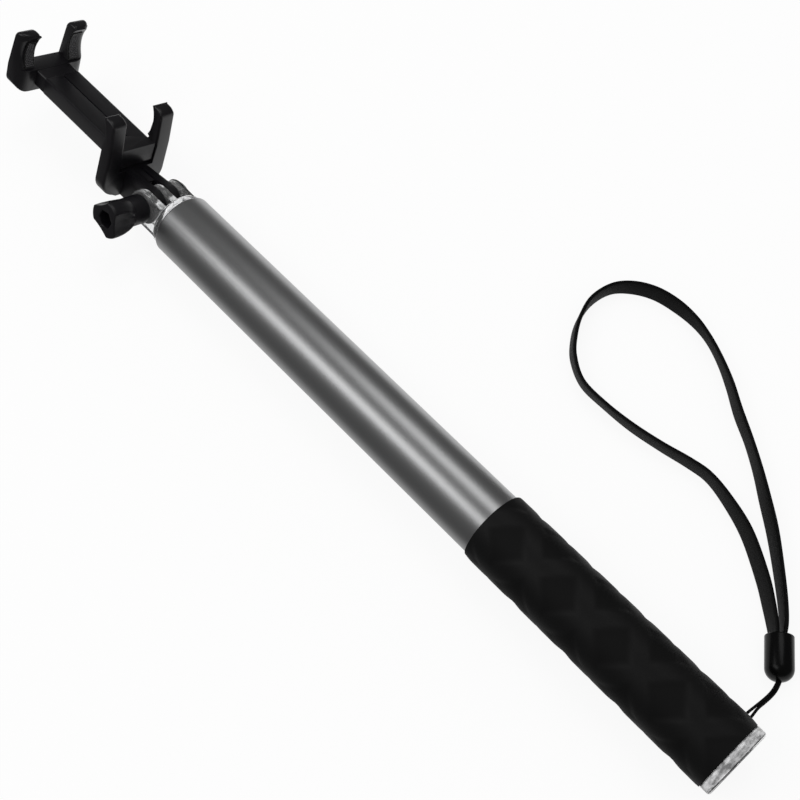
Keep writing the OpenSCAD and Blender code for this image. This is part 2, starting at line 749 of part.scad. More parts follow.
module moving_post(d, high) {
    translate([moving_post_x, 0, tongue_low]) cylinder(d = d, h = high - tongue_low);
}

module spring_post_fixed() {
    color("silver") in_head() fixed_post(post_d, cavity_high + post_seat - seat_gap);
}

module spring_post_moving() {
    color("silver") in_head() moving_post(post_d, pocket_high + post_seat - seat_gap);
}

// Helix between the posts, printed with the least gap between its turns
module clamp_spring() {
    rings = 8;
    r = (spring_od - spring_wire) / 2;
    x0 = fixed_post_x + post_d / 2 + spring_wire;
    x1 = moving_post_x - post_d / 2 - spring_wire;
    z = (tongue_low + pocket_high) / 2;
    count = spring_turns * rings;
    path = [
        for (i = [0 : count])
            let (a = 360 * i / rings) [x0 + (x1 - x0) * i / count, r * cos(a), z + r * sin(a)]
    ];
    outward = [for (i = [0 : count]) let (a = 360 * i / rings) [0, cos(a), sin(a)]];
    echo(spring_gap = norm(path[rings] - path[0]) - spring_wire);
    color("silver") in_head() sweep(path, outward, round_section(spring_wire, 6));
}

// Curved pad in the hollow of one arm, or its seat with room all round
module pad_solid(out_x, dir, y, room) {
    angle = pad_angle + room;
    width = pad_w + 2 * room;
    translate([out_x + dir * hollow_depth, y, hollow_z]) rotate([90, dir > 0 ? 180 + angle : angle, 0])
        rotate_extrude(angle = 2 * angle) translate([pad_r - pad_t - room, -width / 2])
            square([pad_t + 2 * room - seat_gap, width]);
}

module lower_pad(side) {
    color("#232225") in_head() pad_solid(jaw_x, 1, side * lower_pad_y, 0);
}

module upper_pad(side) {
    color("#232225") in_head() pad_solid(upper_out, -1, side * upper_pad_y, 0);
}

module lower_left_pad() {
    lower_pad(1);
}

module lower_right_pad() {
    lower_pad(-1);
}

module upper_left_pad() {
    upper_pad(1);
}

module upper_right_pad() {
    upper_pad(-1);
}

module strap_web() {
    path = [for (p = smooth(web_route, 2)) [p[0], p[1], p[2] + ground_z, p[3]]];
    across = [for (i = [0 : len(path) - 1]) leaning(heading(path, i), path[i][3])];
    color("#141315") sweep(path, across, flat_section(web_w, web_t));
}

// Bullet shape with a rounded nose towards the cord and a flat end towards the webbing
module strap_crimp() {
    r = crimp_d / 2;
    nose = [
        for (a = [0 : 15 : 90]) [r - crimp_nose + crimp_nose * sin(a), crimp_nose * (1 - cos(a))]
    ];
    color("#0e0d0f") translate([crimp_nose_at[0], crimp_nose_at[1], crimp_z]) rotate([0, 90, crimp_turn])
        rotate_extrude() polygon(concat([[0, 0]], nose, [[r, crimp_len], [0, crimp_len]]));
}

module strap_cord() {
    path = smooth(cord_route, 2);
    across = [for (i = [0 : len(path) - 1]) sideways(heading(path, i))];
    color("#141315") sweep(path, across, round_section(cord_d, 8));
}

outer_tube();
grip_sleeve();
end_cap();
strap_pin();
mouth_bush();
middle_tube();
middle_bush();
lower_lock_core();
lower_lock_sleeve();
inner_tube();
upper_lock_core();
upper_lock_sleeve();
head_mount();
pivot_nut();
pivot_screw();
pivot_knob();
clamp_body();
clamp_cover();
cover_screws();
clamp_slider();
clamp_spring();
spring_post_fixed();
spring_post_moving();
lower_left_pad();
lower_right_pad();
upper_left_pad();
upper_right_pad();
strap_web();
strap_crimp();
strap_cord();
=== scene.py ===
"""Finish of a collapsed telescopic camera pole: tube, grip, clear ends, phone clamp and strap."""
import json
from contextlib import contextmanager
from itertools import product
from math import asin, atan2, cos, floor, pi, radians, sin, sqrt

import bmesh
import bpy
from bpy.props import FloatProperty, FloatVectorProperty, IntProperty, PointerProperty
from mathutils import Matrix, Vector


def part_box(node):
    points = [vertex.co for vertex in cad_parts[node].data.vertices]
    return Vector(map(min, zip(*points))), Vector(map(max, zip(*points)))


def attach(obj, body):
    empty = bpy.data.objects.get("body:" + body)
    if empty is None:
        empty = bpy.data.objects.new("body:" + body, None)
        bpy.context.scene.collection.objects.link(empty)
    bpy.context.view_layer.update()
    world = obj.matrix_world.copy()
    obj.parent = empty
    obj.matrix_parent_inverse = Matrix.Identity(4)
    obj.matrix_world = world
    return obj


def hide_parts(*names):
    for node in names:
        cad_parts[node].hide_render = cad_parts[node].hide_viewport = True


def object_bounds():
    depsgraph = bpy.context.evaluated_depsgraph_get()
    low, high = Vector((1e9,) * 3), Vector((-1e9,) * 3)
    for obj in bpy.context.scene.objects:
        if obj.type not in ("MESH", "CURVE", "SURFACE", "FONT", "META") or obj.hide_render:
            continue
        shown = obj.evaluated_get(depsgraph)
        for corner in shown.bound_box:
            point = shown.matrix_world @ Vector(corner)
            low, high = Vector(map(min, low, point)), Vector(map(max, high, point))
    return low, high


bl_info = {
    "name": "Camera pole finish",
    "version": (1, 0, 0),
    "blender": (4, 5, 0),
    "location": "View3D > Sidebar > Camera pole",
    "description": "Models and finishes the visible pieces of a telescopic camera pole",
    "category": "Object",
}

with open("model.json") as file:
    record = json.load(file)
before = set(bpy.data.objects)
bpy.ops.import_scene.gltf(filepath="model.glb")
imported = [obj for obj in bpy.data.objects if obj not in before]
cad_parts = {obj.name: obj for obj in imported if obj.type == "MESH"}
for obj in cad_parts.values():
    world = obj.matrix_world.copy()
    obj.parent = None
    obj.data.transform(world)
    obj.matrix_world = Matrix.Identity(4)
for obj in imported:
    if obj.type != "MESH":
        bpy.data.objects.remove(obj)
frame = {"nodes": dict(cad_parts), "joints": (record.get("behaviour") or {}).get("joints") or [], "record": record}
cad_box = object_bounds()

MM = 0.001
MERGE = 1e-6
SHARP = radians(35)
FLAT = radians(0.4)
WHITE = (1, 1, 1, 1)

# What each packed piece rides on
RECORD = frame["record"]
BODY_OF = {node: body for body, nodes in RECORD["behaviour"]["bodies"].items() for node in nodes}

# The head and all that it carries are rolled about the pole, as the hinge's axis tells
TILT = next(joint for joint in frame["joints"] if joint["name"] == "holder_tilt")
TILT_AXIS = Vector(TILT["axis"])
PIVOT = Vector(TILT["pos_m"])
HEAD_ROLL = atan2(-TILT_AXIS.z, -TILT_AXIS.y)
ROLL = Matrix.Rotation(HEAD_ROLL, 3, "X")

# Sizes that the packed pieces give
TUBE_LOW, TUBE_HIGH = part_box("outer_tube")
GRIP_LOW, GRIP_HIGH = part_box("grip_sleeve")
TUBE_R = TUBE_HIGH.z
GRIP_R = GRIP_HIGH.z
GROUND = cad_box[0].z

# Strap hole through the grip and the tube, in metres like the sizes that follow
HOLE_AT = (0.0069, -0.011, 0)
HOLE_D = 0.0036

# Crimp: place of its nose, turn about the vertical, length and radius
CRIMP_NOSE = (0.0075, -0.0292)
CRIMP_TURN = radians(-50)
CRIMP_LEN = 0.0136
CRIMP_R = 0.0043

# Lower jaw with the roll taken out: its outer face, and x, height and radius of its arms' round hollow
JAW_X = 0.2691
HOLLOW_AT = (0.2846, 0.0176)
HOLLOW_R = 0.0114

# Pads: radius of their bent back, and thickness
PAD_R = 0.012
PAD_T = 0.0009

# Webbing and cord: sizes, pitch of the webbing's warp, and pitch and strands of the cord's braid
WEB_W = 0.0065
WEB_T = 0.0013
WARP_PITCH = 0.00055
CORD_D = 0.00085
BRAID_PITCH = 0.0005
BRAID_STRANDS = 8

# Webbing: x, y, height above the ground and lean in degrees, where 0 stands on edge
WEB_ROUTE = [
    (0.0164, -0.0374, 0.0043, -6), (0.0188, -0.04, 0.0043, -12), (0.0244, -0.0448, 0.004, -18),
    (0.0316, -0.0503, 0.0037, -20), (0.0435, -0.0575, 0.0035, -17), (0.054, -0.0613, 0.0035, -9),
    (0.0635, -0.0633, 0.0034, -2), (0.071, -0.0625, 0.0034, 0), (0.081, -0.0603, 0.0034, 4),
    (0.092, -0.0585, 0.0034, 6), (0.103, -0.0579, 0.0034, 10), (0.113, -0.0585, 0.0034, 6),
    (0.121, -0.0627, 0.0034, -3), (0.126, -0.0678, 0.0034, -8), (0.1302, -0.0746, 0.0034, -8),
    (0.1326, -0.0828, 0.0034, -2), (0.1314, -0.0911, 0.0034, 0), (0.1269, -0.0968, 0.0034, 6),
    (0.1202, -0.1007, 0.0034, 8), (0.1122, -0.1023, 0.0034, 8), (0.104, -0.1022, 0.0034, 0),
    (0.0966, -0.1005, 0.0034, -6), (0.0888, -0.0972, 0.0034, -4), (0.0808, -0.0927, 0.0034, 3),
    (0.0723, -0.087, 0.0034, 7), (0.0635, -0.0818, 0.0034, 5), (0.0552, -0.0762, 0.0035, 8),
    (0.0472, -0.0702, 0.0035, 14), (0.0394, -0.0642, 0.0036, 15), (0.032, -0.0577, 0.0038, 12),
    (0.0228, -0.049, 0.0041, 8), (0.0175, -0.0432, 0.0043, 4), (0.0148, -0.0389, 0.0043, 0),
]

# Cord: from the crimp through the hole, round the pin in the end cap and back
CORD_ROUTE = [
    (0.00887, -0.0302, -0.0076), (0.00809, -0.02907, -0.0076), (0.00759, -0.02758, -0.0073),
    (0.00718, -0.02552, -0.0067), (0.00706, -0.02298, -0.0056), (0.00719, -0.01991, -0.0039),
    (0.00744, -0.0165, -0.0019), (0.00772, -0.0129, -0.0004), (0.00772, -0.009, 0),
    (0.0082, -0.0056, 0), (0.0087, -0.0029, 0), (0.0079, -0.0011, 0), (0.0064, -0.0008, 0),
    (0.0053, -0.0019, 0), (0.0052, -0.004, 0), (0.0057, -0.0064, 0), (0.00615, -0.009, 0),
    (0.00626, -0.0129, -0.0004), (0.00656, -0.0165, -0.0019), (0.00637, -0.01991, -0.0039),
    (0.00624, -0.02298, -0.0056), (0.00636, -0.02562, -0.0067), (0.00681, -0.02782, -0.0073),
    (0.00741, -0.02953, -0.0076), (0.00819, -0.03066, -0.0076),
]


def length(name, description, default):
    """A setting for a size."""
    return FloatProperty(
        name=name, description=description, default=default, min=0, unit="LENGTH", precision=5)


def factor(name, description, default):
    """A setting for a share between 0 and 1."""
    return FloatProperty(
        name=name, description=description, default=default, min=0, max=1, subtype="FACTOR")


def colour(name, description, default):
    """A setting for a colour."""
    return FloatVectorProperty(
        name=name, description=description, default=default, min=0, max=1, size=3, subtype="COLOR")


def place(name, description, default):
    """A setting for a point in space."""
    return FloatVectorProperty(
        name=name, description=description, default=default, size=3,
        subtype="TRANSLATION", unit="LENGTH")


class PoleSettings(bpy.types.PropertyGroup):
    """Sizes and colours of the tubes, their bushes and locks, and the grip"""

    tube_colour: colour("Tube colour", "Colour of the anodised outer tube", (0.42, 0.422, 0.425))
    tube_roughness: factor("Tube roughness", "How far the satin tube spreads a reflection", 0.38)
    tube_wall: length("Tube wall", "Wall of the outer tube", 0.9 * MM)
    mouth_round: length("Mouth round", "Rounding of the outer edge of the tube's mouth", 0.55 * MM)
    rim_round: length("Rim round", "Rounding of the outer tube's other edges", 0.25 * MM)
    inner_colour: colour("Inner tube colour", "Colour of the nested tubes", (0.55, 0.56, 0.57))
    bush_colour: colour("Bush colour", "Colour of the bushes and lock cores", (0.035, 0.035, 0.038))
    collet_colour: colour("Collet colour", "Colour of the locks' sleeves", (0.62, 0.6, 0.54))
    grip_colour: colour("Grip colour", "Colour of the rubber grip", (0.003, 0.003, 0.0031))
    band_starts: IntProperty(
        name="Bands each way", description="Raised bands that wind each way round the grip",
        default=3, min=1)
    band_pitch: length("Band pitch", "Distance along the pole from one band to the next", 20.6 * MM)
    band_phase: FloatProperty(
        name="Band phase", description="Turn of the crossing bands about the pole",
        default=radians(7), subtype="ANGLE")
    band_width: length("Band width", "Width of a raised band", 6 * MM)
    band_soft: length("Band shoulder", "Width of a band's sloping shoulder", 2.4 * MM)
    band_height: length("Band height", "How far a band stands out", 0.3 * MM)


class HeadSettings(bpy.types.PropertyGroup):
    """Finish of the clear ends, their fasteners and the thumb knob"""

    head_colour: colour("Head tint", "Tint of the clear head", (0.95, 0.955, 0.96))
    cap_colour: colour("End cap tint", "Tint of the clear end cap", (0.48, 0.48, 0.485))
    # The clear pieces' streaks are painted reflection: dark and pale patches in the tint that stand in for what
    # the plastic refracts
    head_painted_refraction: factor("Head streaks", "How strong the clear head's streaks are", 0.04)
    cap_painted_refraction: factor("End cap streaks", "How strong the end cap's streaks are", 0.75)
    head_clarity: factor("Head clarity", "Share of light that the clear head lets through", 0.92)
    cap_clarity: factor("End cap clarity", "Share of light that the end cap lets through", 0.88)
    clear_edge: length("Clear edges", "Rounding of the clear pieces' edges", 0.45 * MM)
    knob_colour: colour("Knob colour", "Colour of the thumb knob", (0.0052, 0.0045, 0.0064))
    collar_r: length("Knob collar radius", "Radius of the collar between knob and hinge", 4.95 * MM)
    collar_len: length("Knob collar length", "Length of the knob's collar", 6.3 * MM)
    knob_edge: length("Knob edges", "Rounding of the knob's edges", 0.45 * MM)
    steel_colour: colour("Steel colour", "Colour of the screw, nut, pin and posts", (0.6, 0.6, 0.59))


class ClampSettings(bpy.types.PropertyGroup):
    """Finish of the phone clamp"""

    clamp_colour: colour("Clamp colour", "Colour of the clamp's mouldings", (0.0044, 0.0038, 0.0054))
    clamp_edge: length("Clamp edges", "Rounding of the mouldings' edges", 0.35 * MM)
    tip_edge: length("Tip edges", "Rounding of the upper jaw's arms at their tips", 1.1 * MM)
    jaw_edge: length("Jaw edges", "Rounding of the outer edges of the lower jaw", 0.9 * MM)
    screw_colour: colour("Screw colour", "Colour of the cover's screws", (0.05, 0.05, 0.055))
    pad_colour: colour("Pad colour", "Colour of the pads' studs", (0.1, 0.098, 0.103))
    stud_pitch: length("Stud pitch", "Distance between the pads' studs", 0.62 * MM)
    stud_r: length("Stud radius", "Radius of the pads' round studs", 0.22 * MM)
    stud_arch: length("Stud arch", "Radius of the rounded upper corner of the studs' field", 2.4 * MM)


class StrapSettings(bpy.types.PropertyGroup):
    """Finish of the wrist strap"""

    strap_colour: colour("Strap colour", "Colour of the webbing and the cord", (0.0026, 0.0026, 0.0027))
    rib_pitch: length("Rib pitch", "Distance between the webbing's cross ribs", 0.7 * MM)
    crimp_colour: colour("Crimp colour", "Colour of the crimp", (0.0022, 0.0022, 0.0023))
    crimp_nose: length("Crimp nose", "Rounding of the crimp's nose", 3.8 * MM)
    crimp_edge: length("Crimp edge", "Rounding of the crimp's flat end", 0.4 * MM)


class StageSettings(bpy.types.PropertyGroup):
    """Camera, floor and studio light"""

    camera_at: place("Camera", "Where the camera stands", (0.0007, 0.1248, 0.3748))
    camera_aim: place("Aim", "Point that the camera looks at", (0.145, -0.0085, 0.0))
    camera_lens: FloatProperty(
        name="Lens", description="Focal length of the camera", default=61.3, min=1, unit="CAMERA")
    floor_colour: colour("Floor colour", "Colour of the floor", (0.95, 0.95, 0.95))
    floor_glow: factor("Floor glow", "Share of plain white in what the camera sees of the floor", 0.9)
    floor_size: length("Floor size", "Radius of the floor", 8.0)
    strip_middle: FloatProperty(
        name="Strip middle", default=-0.045, unit="LENGTH",
        description="Middle of the bright strip of floor that gloss shows, across the pole")
    strip_width: length("Strip width", "Width of that strip", 0.09)
    strip_soft: length("Strip edge", "Width over which the strip fades out", 0.035)
    room_gloss: factor("Room in gloss", "Brightness of the room and far floor that gloss shows", 0.12)
    room_fill: factor("Room fill", "Brightness of the room as plain fill light", 0.6)


class Wire:
    """A value in a material's node tree that can be used in a Python expression."""

    def __init__(self, tree, socket=None):
        self.tree = tree
        self.socket = socket

    def add(self, kind, settings=(), inputs=(), output=0):
        """Adds a node of any kind: its settings come first, then its sockets' values or links."""
        node = self.tree.nodes.new(kind)
        for name, value in dict(settings).items():
            setattr(node, name, value)
        for name, value in dict(inputs).items():
            if isinstance(value, Wire):
                self.tree.links.new(value.socket, node.inputs[name])
            else:
                node.inputs[name].default_value = value
        return Wire(self.tree, node.outputs[output] if node.outputs else None)

    def math(self, operation, other=0.0, swapped=False):
        """Adds a step of arithmetic on this value and another one."""
        pair = (other, self) if swapped else (self, other)
        return self.add("ShaderNodeMath", {"operation": operation}, enumerate(pair))

    def __add__(self, other):
        return self.math("ADD", other)

    def __radd__(self, other):
        return self.math("ADD", other, swapped=True)

    def __sub__(self, other):
        return self.math("SUBTRACT", other)

    def __rsub__(self, other):
        return self.math("SUBTRACT", other, swapped=True)

    def __mul__(self, other):
        return self.math("MULTIPLY", other)

    def __truediv__(self, other):
        return self.math("DIVIDE", other)


def finish(name, build, **constants):
    """A material whose constants are set on the shader and whose build function gives what varies."""
    made = bpy.data.materials.new(name)
    made.use_nodes = True
    shader = made.node_tree.nodes["Principled BSDF"]
    for socket, value in constants.items():
        shader.inputs[socket.replace("_", " ").title().replace("Ior", "IOR")].default_value = value
    for socket, wire in build(Wire(made.node_tree)).items():
        made.node_tree.links.new(wire.socket, shader.inputs[socket])
    return made


def rgba(shade, gain=1.0):
    """A colour made lighter or darker, with the fourth channel that sockets take."""
    return (*[channel * gain for channel in shade], 1)


def shades(wire, amount, dark, light):
    """A colour that goes from dark to light as a value goes from 0 to 1."""
    return wire.add(
        "ShaderNodeMix", {"data_type": "RGBA"}, {0: amount, 6: rgba(*dark), 7: rgba(*light)}, output=2)


def noise(wire, where, scale, detail, rough=0.5):
    """Cloudy noise between 0 and 1, whose scale is counted to the metre."""
    return wire.add("ShaderNodeTexNoise", {}, {
        "Vector": where, "Scale": scale, "Detail": detail, "Roughness": rough})


def bump(wire, height, strength, distance):
    """A surface that seems lifted by a height times a distance."""
    return wire.add(
        "ShaderNodeBump", {}, {"Height": height, "Strength": strength, "Distance": distance},
        output="Normal")


def object_place(wire, stretch=(1, 1, 1)):
    """Place on the piece, squeezed along each axis to draw a pattern out."""
    where = wire.add("ShaderNodeTexCoord", output="Object")
    return wire.add("ShaderNodeMapping", {}, {"Vector": where, "Scale": stretch})


def satin_metal(name, shade, roughness):
    """Anodised aluminium: fine lengthwise grain, faint clouding and a bead-blasted bump."""
    def build(wire):
        grain = noise(wire, object_place(wire, (0.04, 1, 1)), scale=9000, detail=2)
        cloud = noise(wire, object_place(wire), scale=45, detail=3)
        frost = noise(wire, object_place(wire), scale=16000, detail=1)
        mixed = grain * 0.35 + cloud * 0.65
        return {
            "Base Color": shades(wire, mixed, (shade, 0.93), (shade, 1.07)),
            "Roughness": roughness - 0.04 + grain * 0.05 + cloud * 0.03,
            "Normal": bump(wire, frost, strength=0.06, distance=0.02 * MM),
        }
    return finish(name, build, metallic=1.0)


def bright_steel(name, shade):
    """Plated steel with fine machining lines."""
    def build(wire):
        lines = noise(wire, object_place(wire, (1, 0.1, 0.1)), scale=12000, detail=2)
        return {
            "Base Color": shades(wire, lines, (shade, 0.85), (shade, 1.1)),
            "Roughness": 0.18 + lines * 0.14,
            "Normal": bump(wire, lines, strength=0.1, distance=0.01 * MM),
        }
    return finish(name, build, metallic=1.0)


def moulding(name, shade, roughness, grain_scale, grain, gloss=0.5):
    """Moulded plastic: a fine spark-eroded texture and slightly uneven gloss."""
    def build(wire):
        spark = noise(wire, object_place(wire), grain_scale, detail=2)
        flow = noise(wire, object_place(wire, (0.4, 1, 1)), scale=160, detail=3)
        return {
            "Base Color": shades(wire, flow, (shade, 0.85), (shade, 1.2)),
            "Roughness": roughness - 0.06 + flow * 0.1 + spark * 0.04,
            "Normal": bump(wire, spark, grain, distance=0.03 * MM),
        }
    return finish(name, build, specular_ior_level=gloss)


def grip_rubber(name, shade):
    """Matt shrink-fit rubber: a fine pebbled skin, rubbed patches, and smoother raised bands whose crests carry a
    painted highlight.
    """
    def build(wire):
        pebble = wire.add("ShaderNodeTexVoronoi", {}, {
            "Vector": object_place(wire), "Scale": 2600}, output="Distance")
        rub = noise(wire, object_place(wire), scale=70, detail=4, rough=0.6)
        band = wire.add("ShaderNodeAttribute", {"attribute_name": "bands"}, output="Fac")
        return {
            # Painted highlight: the raised bands' crests are made paler in the colour, as if light caught them
            "Base Color": shades(wire, rub * 0.4 + band * 0.6, (shade, 0.8), (shade, 1.5)),
            "Roughness": 0.64 + rub * 0.12 - band * 0.14,
            "Normal": bump(wire, pebble, strength=0.22, distance=0.05 * MM),
        }
    return finish(name, build, specular_ior_level=0.22)


def clear_plastic(name, tint, streaks, clarity):
    """Clear moulded plastic, slightly milky, with dark and pale streaks painted into its colour: a painted
    reflection that stands in for what the plastic refracts and reflects.
    """
    def build(wire):
        refraction_streak = noise(wire, object_place(wire, (2, 0.6, 0.6)), scale=420, detail=4, rough=0.6)
        haze = noise(wire, object_place(wire), scale=600, detail=2)
        painted_refraction = wire.add("ShaderNodeMapRange", {}, {
            "Value": refraction_streak * 0.7 + haze * 0.3, "From Min": 0.41, "From Max": 0.59})
        # Painted reflection: the streaks darken and lighten the tint where refracted and reflected surroundings
        # would show
        return {
            "Base Color": shades(wire, painted_refraction, (tint, 1 - streaks), (tint, 1 + streaks)),
            "Roughness": 0.05 + haze * 0.08,
        }
    return finish(name, build, transmission_weight=clarity, ior=1.49)


def pad_rubber(name, shade):
    """Soft dark rubber with a powdery bloom on its studs."""
    def build(wire):
        bloom = noise(wire, object_place(wire), scale=900, detail=3)
        skin = noise(wire, object_place(wire), scale=5000, detail=2)
        stud = wire.add("ShaderNodeAttribute", {"attribute_name": "studs"}, output="Fac")
        return {
            "Base Color": shades(wire, stud * (0.7 + bloom * 0.6), (shade, 0.12), (shade, 1.0)),
            "Roughness": 0.5 + bloom * 0.2,
            "Normal": bump(wire, skin, strength=0.2, distance=0.03 * MM),
        }
    return finish(name, build, specular_ior_level=0.4)


def woven(name, shade, rib_pitch, warp_pitch):
    """Woven nylon on the strap's own length and girth: cross ribs, and warp threads between them."""
    def build(wire):
        uv = wire.add("ShaderNodeUVMap", {"uv_map": "strap"})
        along, around = [
            wire.add("ShaderNodeSeparateXYZ", {}, {0: uv}, output=axis) for axis in ("X", "Y")]
        column = (around / warp_pitch).math("FLOOR")
        shift = (column * 0.5).math("FRACT")
        rib = ((along / rib_pitch + shift) * (2 * pi)).math("COSINE") * 0.5 + 0.5
        warp = (around / warp_pitch * (2 * pi)).math("COSINE") * -0.5 + 0.5
        thread = rib.math("POWER", 0.6) * 0.6 + warp * 0.4
        fuzz = noise(wire, object_place(wire), scale=5000, detail=2)
        return {
            "Base Color": shades(wire, thread * 0.7 + fuzz * 0.3, (shade, 0.45), (shade, 1.7)),
            "Roughness": 0.5 + fuzz * 0.25,
            "Normal": bump(wire, thread + fuzz * 0.25, strength=0.75, distance=0.12 * MM),
        }
    return finish(name, build, specular_ior_level=0.1)


def deselect():
    """Leaves edit mode and selects nothing."""
    if bpy.context.object and bpy.context.object.mode != "OBJECT":
        bpy.ops.object.mode_set(mode="OBJECT")
    bpy.ops.object.select_all(action="DESELECT")


def take(piece):
    """Makes one piece the only selected one and the active one."""
    deselect()
    piece.select_set(True)
    bpy.context.view_layer.objects.active = piece


@contextmanager
def editing(piece):
    """Edit mode on one piece, with all of it selected at the start."""
    take(piece)
    bpy.ops.object.mode_set(mode="EDIT")
    bpy.ops.mesh.select_mode(type="VERT")
    bpy.ops.mesh.select_all(action="SELECT")
    yield
    bpy.ops.object.mode_set(mode="OBJECT")


def pick_edges(piece, test, least_angle=0.0):
    """Selects only the edges that are sharp enough and whose two ends pass a test together."""
    bpy.ops.mesh.select_mode(type="EDGE")
    bpy.ops.mesh.select_all(action="DESELECT")
    mesh = bmesh.from_edit_mesh(piece.data)
    for edge in mesh.edges:
        sharp = edge.calc_face_angle(pi) >= least_angle
        edge.select_set(sharp and test(*[vertex.co for vertex in edge.verts]))
    mesh.select_flush_mode()
    bmesh.update_edit_mesh(piece.data)


def settle(piece):
    """Puts a piece's place, turn and size into its mesh."""
    take(piece)
    bpy.ops.object.transform_apply(location=True, rotation=True, scale=True)
    return piece


def apply(piece, kind, **settings):
    """Adds a modifier and applies it."""
    take(piece)
    modifier = piece.modifiers.new(kind.title(), kind)
    for name, value in settings.items():
        setattr(modifier, name, value)
    bpy.ops.object.modifier_apply(modifier=modifier.name)


def soften(piece, width, segments=3, careful=False):
    """Rounds every sharp edge, less where a careful piece has no room, and shades the piece smooth."""
    apply(
        piece, "BEVEL", width=width, segments=segments, limit_method="ANGLE", angle_limit=SHARP,
        use_clamp_overlap=careful)
    smooth_shade(piece)


def smooth_shade(piece):
    """Shades a piece smooth, but for its sharp edges."""
    take(piece)
    bpy.ops.object.shade_smooth_by_angle(angle=SHARP)


def turned(name, stations, sides=128, bored=False):
    """Lathe work about the pole's axis: a circle is pulled out from station to station."""
    (x, radius), *rest = stations
    deselect()
    bpy.ops.mesh.primitive_circle_add(
        vertices=sides, radius=radius, fill_type="NOTHING" if bored else "NGON",
        location=(x, 0, 0), rotation=(0, pi / 2, 0))
    piece = bpy.context.object
    piece.name = name
    settle(piece)
    with editing(piece):
        for next_x, next_radius in rest:
            bpy.ops.mesh.extrude_region_move(TRANSFORM_OT_translate={"value": (next_x - x, 0, 0)})
            grow = next_radius / radius
            bpy.ops.transform.resize(value=(1, grow, grow), center_override=(next_x, 0, 0))
            x, radius = next_x, next_radius
        tidy_mesh()
    return piece


def tidy_mesh():
    """Merges what meets in the mesh that is being edited and turns its faces outwards."""
    bpy.ops.mesh.select_all(action="SELECT")
    bpy.ops.mesh.remove_doubles(threshold=MERGE)
    bpy.ops.mesh.normals_make_consistent(inside=False)


def drill_strap_hole(piece):
    """Cuts the strap hole, square to the pole on its -Y side."""
    deselect()
    bpy.ops.mesh.primitive_cylinder_add(
        vertices=48, radius=HOLE_D / 2, depth=TUBE_R, location=HOLE_AT, rotation=(pi / 2, 0, 0))
    cutter = bpy.context.object
    apply(piece, "BOOLEAN", object=cutter, operation="DIFFERENCE", solver="EXACT")
    bpy.data.objects.remove(cutter)


def copied(node, name):
    """A merged copy of a packed piece, with its flat faces whole, to be worked on."""
    source = frame["nodes"][node]
    piece = source.copy()
    piece.data = source.data.copy()
    piece.name = name
    for key in list(piece.keys()):
        del piece[key]
    piece.parent = None
    bpy.context.collection.objects.link(piece)
    take(piece)
    bpy.ops.mesh.customdata_custom_splitnormals_clear()
    with editing(piece):
        bpy.ops.mesh.remove_doubles(threshold=MERGE)
        bpy.ops.mesh.dissolve_limited(angle_limit=FLAT)
        bpy.ops.mesh.normals_make_consistent(inside=False)
    return piece


def dress(node, made):
    """Gives a packed piece that stays as it is a better finish."""
    piece = frame["nodes"][node]
    piece.data.materials.clear()
    piece.data.materials.append(made)


def stand_for(piece, node, made):
    """Gives a new piece its finish and lets it stand for a packed one."""
    piece.data.materials.clear()
    piece.data.materials.append(made)
    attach(piece, BODY_OF[node])
    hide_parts(node)
    return piece


def smooth_route(points, steps):
    """Points of one smooth curve through all the given ones."""
    rows = [Vector(point) for point in points]
    last = len(rows) - 1
    curve = []
    for i in range(last):
        a, b, c, d = rows[max(i - 1, 0)], rows[i], rows[i + 1], rows[min(i + 2, last)]
        for j in range(steps):
            t = j / steps
            bend = 2 * a - 5 * b + 4 * c - d
            twist = 3 * b - a - 3 * c + d
            curve.append(0.5 * (2 * b + (c - a) * t + bend * t * t + twist * t ** 3))
    return [*curve, rows[last]]


def heading(path, i):
    """Direction of a path at one of its points."""
    return (path[min(i + 1, len(path) - 1)].xyz - path[max(i - 1, 0)].xyz).normalized()


def swept(name, path, leans, section):
    """One closed strip along a path, with its own length and girth in metres as its UV map."""
    count = len(section)
    points, faces, runs = [], [], [0.0]
    for i, (spot, lean) in enumerate(zip(path, leans)):
        ahead = heading(path, i)
        aside = Vector((0, 0, 1)).cross(ahead).normalized()
        across = sin(lean) * aside + cos(lean) * ahead.cross(aside)
        out = ahead.cross(across)
        points += [spot.xyz + u * across + v * out for u, v in section]
        if i:
            runs.append(runs[-1] + (spot.xyz - path[i - 1].xyz).length)
    for i, j in product(range(len(path) - 1), range(count)):
        k = (j + 1) % count
        faces.append((i * count + j, i * count + k, (i + 1) * count + k, (i + 1) * count + j))
    faces.append(tuple(range(count)))
    faces.append(tuple(reversed(range(len(points) - count, len(points)))))
    mesh = bpy.data.meshes.new(name)
    mesh.from_pydata(points, [], faces)
    map_strip(mesh, section, runs)
    piece = bpy.data.objects.new(name, mesh)
    bpy.context.collection.objects.link(piece)
    with editing(piece):
        bpy.ops.mesh.normals_make_consistent(inside=False)
    smooth_shade(piece)
    return piece


def map_strip(mesh, section, runs):
    """Writes how far along and how far round the strip each corner lies into its UV map."""
    count = len(section)
    girth = [0.0]
    for j in range(count):
        girth.append(girth[-1] + (Vector(section[j]) - Vector(section[(j + 1) % count])).length)
    uv = mesh.uv_layers.new(name="strap")
    for face in mesh.polygons:
        wraps = len(face.vertices) == 4
        for loop, vertex in zip(face.loop_indices, face.vertices):
            ring, j = divmod(vertex, count)
            seam = wraps and j == 0 and any(v % count == count - 1 for v in face.vertices)
            uv.data[loop].uv = (runs[ring], girth[count if seam else j])


